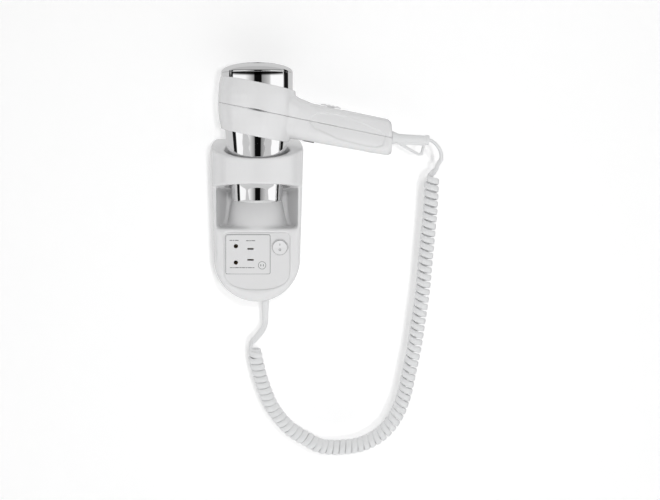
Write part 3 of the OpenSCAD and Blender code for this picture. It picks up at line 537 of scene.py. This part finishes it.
def shelf_zone(co):
    """1 along the shelf's front edge under the nozzle, which runs out softly into the face; 0 elsewhere."""
    x, y, z = co.T
    half_w, back_y, middle_z, half_h = SHELF_EDGE
    across = smoothstep((half_w - np.abs(x)) / 2)
    return across * smoothstep((back_y - y) / 6) * smoothstep(1 - np.abs(z - middle_z) / half_h)


def make_housing():
    voxel = 0.8
    piece = remoulded("holder_shell", ["holder_housing"], voxel, 12, looks["white_shell"],
                      zone=shelf_zone, zone_rounds=60)
    stand_for(piece, "holder", "white_shell", "holder_housing")


def smoothstep(x):
    x = np.clip(x, 0.0, 1.0)
    return x * x * (3 - 2 * x)


# Edges of the leaf-shaped grip hollow on each side of the handle: distance along the handle, height
GRIP_TOP = [(60, 0), (63, 6.2), (67.5, 10.5), (79, 13.3), (93, 14.0), (109, 12.1), (126, 9.4), (146, 4.6),
            (152, 1)]
GRIP_LOW = [(60, 0), (63.5, -4.5), (68.6, -8.6), (83, -11.5), (98, -15.2), (115, -16), (131, -16.7),
            (144, -15.8), (151, -11.8), (152, 1)]
GRIP_DEPTH = 1.7
SEAM_CLOSE = 0.12
SLIDER_WELL = (70.0, 99.0, 8.5, 0.9)      # start, end, half width and depth of the slide switch's trough


def handle_details(co):
    """Presses the grip hollows and the slide switch's trough into the shells; co is in millimetres."""
    c, s = math.cos(TILT), math.sin(TILT)
    x, y, z = co[:, 0], co[:, 1] - BARREL_Y, co[:, 2] - SEAM_Z
    u, w = x * c - z * s, x * s + z * c
    top = np.interp(u, [p[0] for p in GRIP_TOP], [p[1] for p in GRIP_TOP])
    low = np.interp(u, [p[0] for p in GRIP_LOW], [p[1] for p in GRIP_LOW])
    first, last = GRIP_TOP[0][0], GRIP_TOP[-1][0]
    inside = smoothstep((top - w) / 1.6) * smoothstep((w - low) / 2.4)
    inside = inside * smoothstep((u - first) / 4) * smoothstep((last - u) / 3)
    side = smoothstep((np.abs(y) - 12) / 3)
    y = y - np.sign(y) * GRIP_DEPTH * inside * side
    start, end, half, depth = SLIDER_WELL
    well = smoothstep((u - start) / 4) * smoothstep((end - u) / 3) * smoothstep((half - np.abs(y)) / 2)
    w = w - depth * well * smoothstep((w - 14) / 3)
    # close the seam's gap to a hairline
    w = w - np.sign(w) * SEAM_CLOSE * smoothstep((1.6 - np.abs(w)) / 1.2)
    return np.stack([u * c + w * s, y + BARREL_Y, SEAM_Z - u * s + w * c], axis=1)


def make_handle():
    voxel = 0.7
    for half in ("upper", "lower"):
        node = "handle_shell_" + half
        piece = remoulded("moulded_shell_" + half, [node], voxel, 4, looks["white_shell"], handle_details)
        stand_for(piece, "handset", "white_shell", node)


def make_relief():
    piece = remoulded("soft_strain_relief", ["strain_relief"], 0.45, 6, looks["white_cable"])
    stand_for(piece, "handset", "white_cable", "strain_relief")


# ---------- Printed marks, and a painted shadow round the socket plate ---
def flat_bar(x0, x1, z0, z1, y):
    return [(x0, y, z0), (x1, y, z0), (x1, y, z1), (x0, y, z1)]


def ring_faces(cx, cz, inner, outer, y, steps=28):
    quads = []
    for i in range(steps):
        a, b = 2 * math.pi * i / steps, 2 * math.pi * (i + 1) / steps
        quads.append([(cx + r * math.cos(t), y, cz + r * math.sin(t)) for r, t in
                      ((inner, a), (outer, a), (outer, b), (inner, b))])
    return quads


def frame_faces(box, width, y, corner=1.6, steps=5):
    """A thin frame with round corners just outside a box given as (x0, x1, z0, z1)."""
    x0, x1, z0, z1 = box
    inner, outer = [], []
    for cx, cz, turn in ((x1 - corner, z1 - corner, 0), (x0 + corner, z1 - corner, 90),
                         (x0 + corner, z0 + corner, 180), (x1 - corner, z0 + corner, 270)):
        for a in np.radians(np.linspace(turn, turn + 90, steps)):
            for edge, r in ((inner, corner), (outer, corner + width)):
                edge.append((cx + r * math.cos(a), y, cz + r * math.sin(a)))
    count = len(inner)
    return [[inner[i], outer[i], outer[(i + 1) % count], inner[(i + 1) % count]] for i in range(count)]


# lays flat dark quads: the printed marks, and the painted shadow round the socket plate
def lay_dark_sheet(name, quads, body):
    verts = [tuple(c * MM for c in v) for quad in quads for v in quad]
    faces = [tuple(range(4 * i, 4 * i + 4)) for i in range(len(quads))]
    piece = new_piece(name, verts, faces, ink_and_gap_shadow, smooth=False)
    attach(piece, body)


def dashes(x0, x1, z, y):
    """A row of plain dashes of mixed lengths, as many as fit."""
    bars = []
    x = x0
    for dash in DASHES:
        if x + dash > x1:
            break
        bars.append(flat_bar(x, x + dash, z - DASH_HALF_H, z + DASH_HALF_H, y))
        x += dash + DASH_GAP
    return bars


def print_socket_and_shade_gap():
    """Plain dashes and a plug sign where a socket plate carries words, and a dark strip of painted shadow
    round the plate, standing for the shade in its gap.
    """
    y = PLATE_Y - MARK_STANDOFF
    quads = [bar for x0, x1, z in MARK_ROWS for bar in dashes(x0, x1, z, y)]
    quads += ring_faces(*PLUG_SIGN, y)
    quads += [flat_bar(x0, x1, *PLUG_PIN_Z, y) for x0, x1 in PLUG_PINS]
    lay_dark_sheet("socket_marks", quads, "holder")
    # a dark strip painted as the shadow in the gap round the socket plate
    lay_dark_sheet("socket_groove", frame_faces(SOCKET, GAP_SHADOW_W, PANEL_Y - MARK_STANDOFF), "holder")


def print_rocker():
    """An I on the rocker's upper slope and an O on its lower one."""
    x, face, z = ROCKER
    (low, low_off), (high, high_off) = ON_MARK
    left, right = x - ON_HALF_W, x + ON_HALF_W
    on_mark = [(left, face - low_off, z + low), (right, face - low_off, z + low),
               (right, face - high_off, z + high), (left, face - high_off, z + high)]
    height, inner, outer, off = OFF_MARK
    off_mark = ring_faces(x, z + height, inner, outer, face - off)
    lay_dark_sheet("rocker_marks", [on_mark] + off_mark, "rocker")


# ---------- Cord ----------
def smooth_line(points, per_span):
    """Catmull-Rom curve through the points."""
    p = np.array(points, float)
    p = np.vstack([2 * p[0] - p[1], p, 2 * p[-1] - p[-2]])
    line = []
    for i in range(1, len(p) - 2):
        for t in np.arange(per_span) / per_span:
            line.append(0.5 * (2 * p[i] + (p[i + 1] - p[i - 1]) * t
                               + (2 * p[i - 1] - 5 * p[i] + 4 * p[i + 1] - p[i + 2]) * t * t
                               + (3 * p[i] - p[i - 1] - 3 * p[i + 1] + p[i + 2]) * t ** 3))
    line.append(p[-2])
    return np.array(line)


def unit(v):
    return v / np.linalg.norm(v, axis=-1, keepdims=True)


def lengths(line):
    return np.concatenate([[0], np.cumsum(np.linalg.norm(np.diff(line, axis=0), axis=1))])


def curl():
    """The wound stretch: its centre line and the direction out of the curl, point by point."""
    axis = smooth_line(CURL_ROUTE, 24)
    along = lengths(axis)
    total = along[-1]
    shares, pitches = zip(*CURL_PITCH)
    turns = np.concatenate([[0], np.cumsum(np.diff(along) / np.interp(along[1:] / total, shares, pitches))])
    whole = round(turns[-1])
    angle = np.linspace(0, 2 * math.pi * whole, whole * CURL_STEPS + 1)
    even = np.interp(angle / angle[-1] * turns[-1], turns, along)
    # each end of the curl starts steep, where the straight cable runs into it
    lead, settle = 7.0, 0.7
    steep = lead * (1 - np.exp(-angle / settle)) - lead * np.exp((angle - angle[-1]) / settle)
    travel = even * (total - 2 * lead) / total + steep
    travel = np.clip((travel - travel[0]) / (travel[-1] - travel[0]) * total, 0, total)
    centre = np.stack([np.interp(travel, along, axis[:, i]) for i in range(3)], axis=1)
    tangent = unit(np.gradient(axis, axis=0))
    forward = unit(np.stack([np.interp(travel, along, tangent[:, i]) for i in range(3)], axis=1))
    e1 = unit(np.cross(forward, (0.0, 1.0, 0.0)))
    e2 = -np.cross(forward, e1)
    mean_r = CURL_R - CABLE_T / 2
    line = centre + mean_r * (np.cos(angle)[:, None] * e1 + np.sin(angle)[:, None] * e2)
    outward = unit(line - centre)
    return line, outward


def eased(line, joints, reach=10, rounds=40):
    """The line with its kinks taken out near the joints, given as point numbers."""
    line = line.copy()
    number = np.arange(len(line))
    near = sum(smoothstep(1.5 - np.abs(number - joint) / reach) for joint in joints)[1:-1, None]
    for _ in range(rounds):
        line[1:-1] += 0.5 * np.clip(near, 0, 1) * ((line[:-2] + line[2:]) / 2 - line[1:-1])
    return line


def cable_section(steps=14, power=2.6):
    """Rounded flat section: thickness first, width second."""
    a = 2 * math.pi * np.arange(steps) / steps
    c, s = np.cos(a), np.sin(a)
    return np.stack([CABLE_T / 2 * np.sign(c) * np.abs(c) ** (2 / power),
                     CABLE_W / 2 * np.sign(s) * np.abs(s) ** (2 / power)], axis=1)


def make_cord():
    """One flat cable from the dryer's strain relief, through the curl, to the holder's boot."""
    wound, outward = curl()
    upper = smooth_line(UPPER_ROUTE, 8)[:-1]
    lower = smooth_line(LOWER_ROUTE, 8)[::-1][1:]
    # the flat side faces sideways above the curl, and turns to face the front below it
    upper_out = np.tile((1.0, 0.0, 0.35), (len(upper), 1))
    turn = smoothstep(np.linspace(0, 1.6, len(lower)))[:, None]
    lower_out = (1 - turn) * np.array((-1.0, 0.0, 0.0)) + turn * np.array((0.0, -1.0, 0.0))
    line = eased(np.vstack([upper, wound, lower]), (len(upper), len(upper) + len(wound)))
    out = np.vstack([upper_out, outward, lower_out])
    tangent = unit(np.gradient(line, axis=0))
    out = unit(out - tangent * np.sum(out * tangent, axis=1, keepdims=True))
    wide = np.cross(tangent, out)
    section = cable_section()
    sides = len(section)
    thick_part = section[None, :, :1] * out[:, None, :]
    wide_part = section[None, :, 1:] * wide[:, None, :]
    verts = (line[:, None, :] + thick_part + wide_part).reshape(-1, 3) * MM
    faces = [tuple(range(sides))[::-1]]
    for i in range(len(line) - 1):
        for k in range(sides):
            m = (k + 1) % sides
            faces.append((i * sides + k, i * sides + m, (i + 1) * sides + m, (i + 1) * sides + k))
    faces.append(tuple((len(line) - 1) * sides + k for k in range(sides)))
    cord = new_piece("curly_cord", verts, faces, looks["white_cable"])
    cord.data.set_sharp_from_angle(angle=math.radians(70))
    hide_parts("cord_upper", "cord_coil", "cord_lower")
    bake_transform(cord)


make_camera()
dress_cad_nodes()
make_cord()
make_world()
make_stage()
make_cards()
area_light("key_front", *KEY_FRONT)
key_high = area_light("key_high", *KEY_HIGH)
make_rear_barrel()
make_rear_cap()
make_front_barrel()
make_housing()
make_handle()
make_relief()
print_socket_and_shade_gap()
print_rocker()
for node_name, edge_mm in SOFT_EDGES.items():
    soften(node_name, edge_mm)
flag_off_handset(key_high)
bpy.context.scene.view_settings.view_transform = "Standard"
